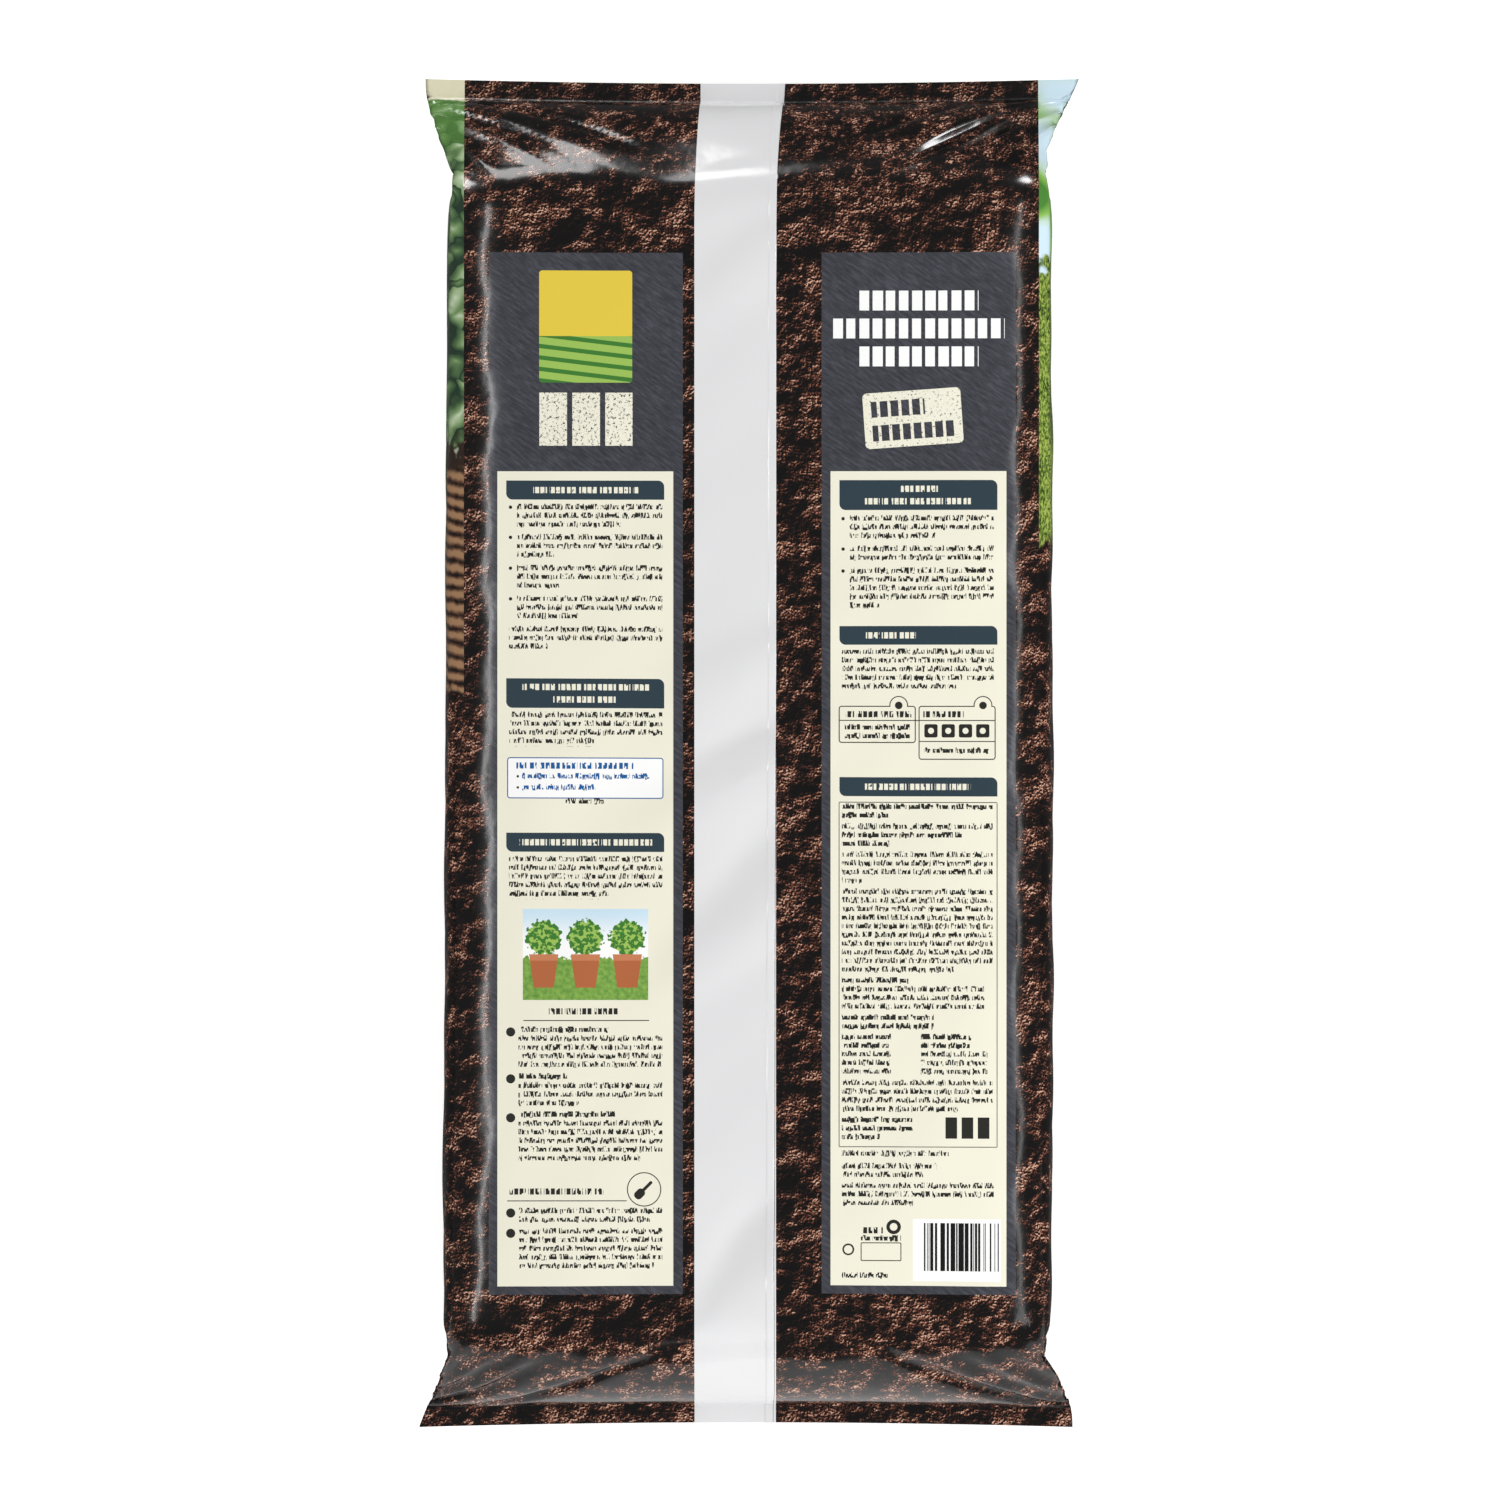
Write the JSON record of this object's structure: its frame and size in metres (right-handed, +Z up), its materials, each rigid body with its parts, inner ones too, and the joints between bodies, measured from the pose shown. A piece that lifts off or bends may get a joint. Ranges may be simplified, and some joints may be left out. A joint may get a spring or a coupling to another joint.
{
  "type": "compost bag",
  "caption": "Full, sealed, side-gusseted film bag of compost, lying on its front: flat welded ends with ears, rolled edges, and a pale lap-seam strip down the back.",
  "frame": {"origin": "on the floor, under the middle of the bag's outline as it lies", "axes": "+Z up through the bag's thickness, +Y along its length towards the top weld, +X to the right as the back is read"},
  "size_m": [0.416, 0.85, 0.1859],
  "materials": {
    "printed_film": "printed polyethylene film: dark soil print, slate and cream panels, white seam strip, soft gloss"
  },
  "bodies": {
    "root": {"compost_bag": "printed_film"}
  },
  "joints": []
}
